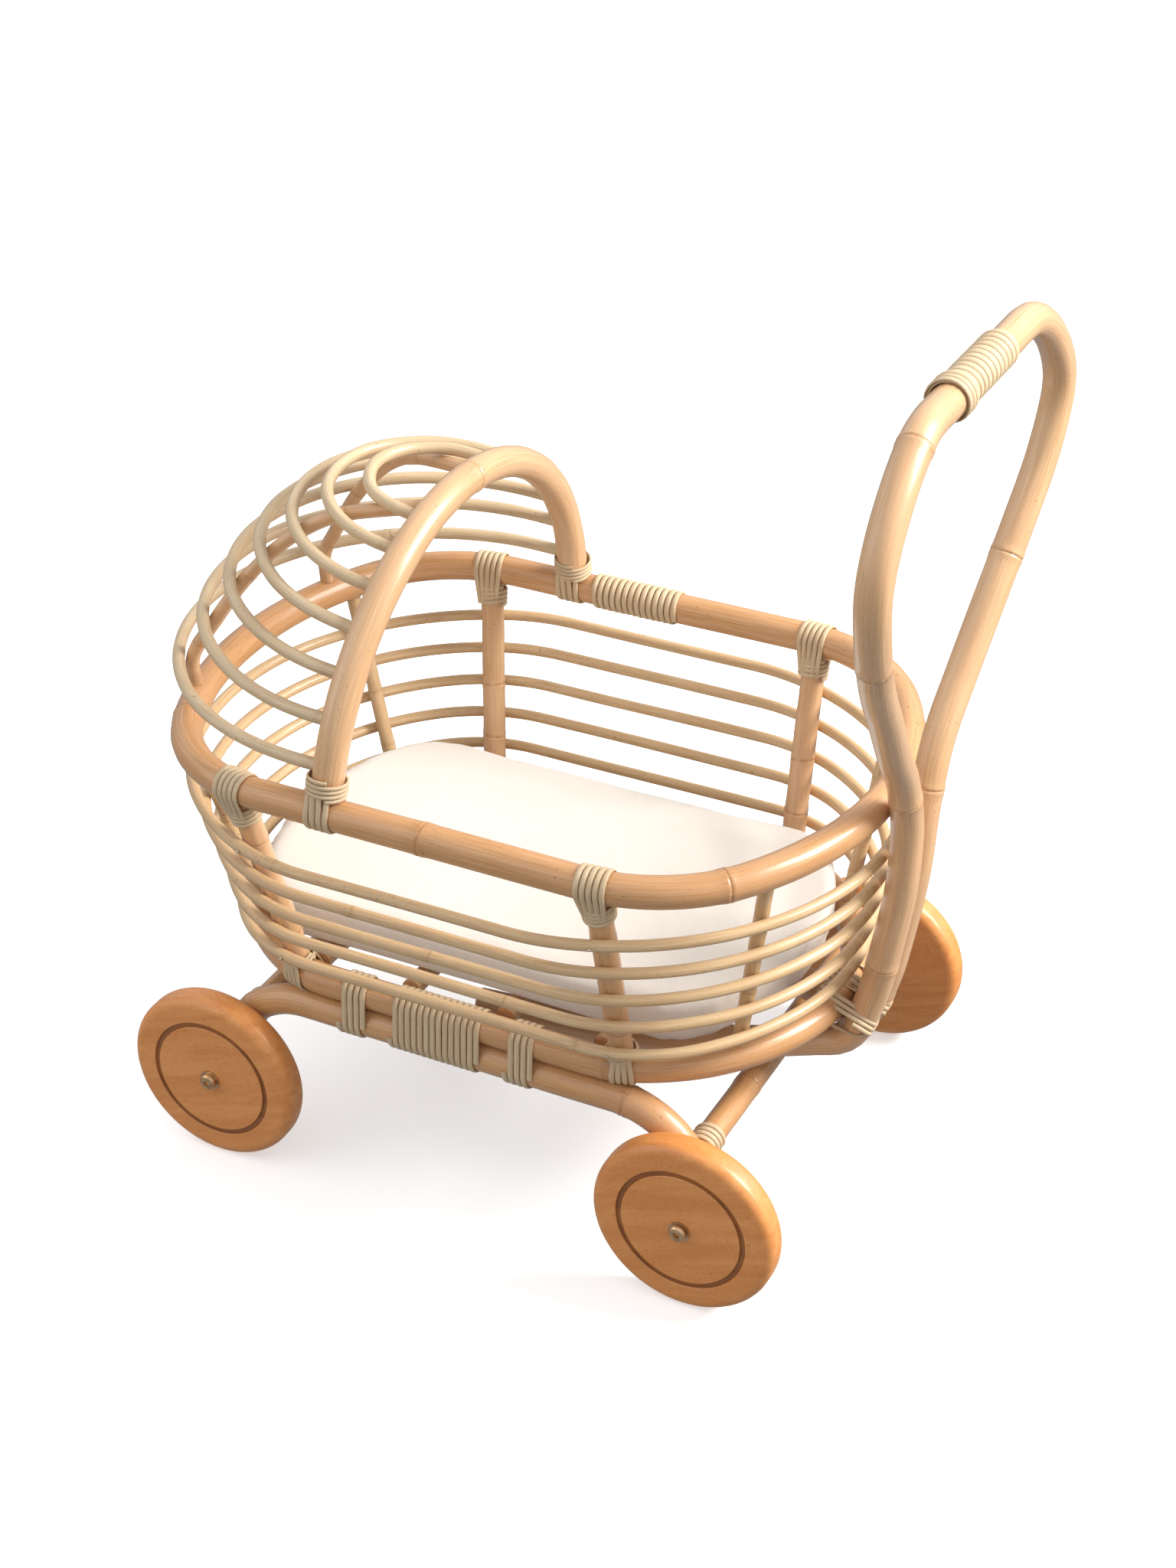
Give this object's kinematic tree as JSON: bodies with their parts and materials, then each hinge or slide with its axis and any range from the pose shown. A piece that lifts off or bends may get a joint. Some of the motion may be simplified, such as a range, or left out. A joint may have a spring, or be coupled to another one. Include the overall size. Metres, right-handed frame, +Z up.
{
  "type": "doll pram",
  "caption": "Rattan doll pram: an oval rod basket with a looped hood, flat mattress and teardrop push handle, rolling on turned wooden wheels.",
  "frame": {"origin": "middle of the bounding box on the floor", "axes": "+X from the hood end to the handle end, +Y to the right hand of a child who pushes it, +Z up"},
  "size_m": [0.5201, 0.3546, 0.5759],
  "materials": {
    "rattan": "satin lacquered rattan pole, tan with darker nodes",
    "pale_rattan": "satin lacquered rattan pole, pale honey",
    "peeled_rod": "peeled rattan core rod, straw, lightly lacquered",
    "cane": "flat rattan binding cane, cream, matte",
    "beech": "turned and oiled beech, orange brown, satin",
    "linen": "off-white woven cotton linen",
    "zinc": "yellow zinc plated steel"
  },
  "bodies": {
    "pram": {"rim_pole": "rattan", "base_ring": "rattan", "rear_post_left": "pale_rattan", "rear_post_right": "pale_rattan", "front_post_left": "pale_rattan", "front_post_right": "pale_rattan", "uprights": "peeled_rod", "hood_arch": "pale_rattan", "hood_rib_left": "pale_rattan", "hood_rib_right": "pale_rattan", "push_handle": "pale_rattan", "side_rail_left": "rattan", "side_rail_right": "rattan", "cross_pole_front": "rattan", "cross_pole_rear": "rattan", "mattress": "linen", "bolt_front_left": "zinc", "bolt_front_right": "zinc", "bolt_rear_left": "zinc", "bolt_rear_right": "zinc", "bolt_washers": "zinc", "spacer_washers": "zinc", "axle_nuts": "zinc", "lash_rear_left": "cane", "lash_rear_right": "cane", "lash_front_left": "cane", "lash_front_right": "cane", "lash_arch_left": "cane", "lash_arch_right": "cane", "lash_post_feet": "cane", "wraps_rail_left": "cane", "wraps_rail_right": "cane", "wrap_rim_joint": "cane", "wraps_cross_poles": "cane", "lash_handle_foot": "cane", "wrap_grip": "cane", "rod_nails": "zinc", "side_rod_1": "peeled_rod", "side_rod_2": "peeled_rod", "side_rod_3": "peeled_rod", "side_rod_4": "peeled_rod", "side_rod_5": "peeled_rod", "hood_loop_1": "peeled_rod", "hood_loop_2": "peeled_rod", "hood_loop_3": "peeled_rod", "hood_loop_4": "peeled_rod", "hood_loop_5": "peeled_rod", "hood_loop_6": "peeled_rod", "hood_loop_7": "peeled_rod", "slat_1": "pale_rattan", "slat_2": "pale_rattan", "slat_3": "pale_rattan", "slat_4": "pale_rattan"},
    "wheel_front_left": {"wheel_front_left": "beech"},
    "wheel_front_right": {"wheel_front_right": "beech"},
    "wheel_rear_left": {"wheel_rear_left": "beech"},
    "wheel_rear_right": {"wheel_rear_right": "beech"}
  },
  "joints": [
    {"name": "spin_front_left", "type": "hinge", "parent": "pram", "child": "wheel_front_left", "pos_m": [-0.18098, -0.15305, 0.06], "axis": [0, 1, 0], "continuous": true},
    {"name": "spin_front_right", "type": "hinge", "parent": "pram", "child": "wheel_front_right", "pos_m": [-0.18098, 0.15305, 0.06], "axis": [0, 1, 0], "continuous": true},
    {"name": "spin_rear_left", "type": "hinge", "parent": "pram", "child": "wheel_rear_left", "pos_m": [0.15302, -0.15305, 0.06], "axis": [0, 1, 0], "continuous": true},
    {"name": "spin_rear_right", "type": "hinge", "parent": "pram", "child": "wheel_rear_right", "pos_m": [0.15302, 0.15305, 0.06], "axis": [0, 1, 0], "continuous": true}
  ]
}
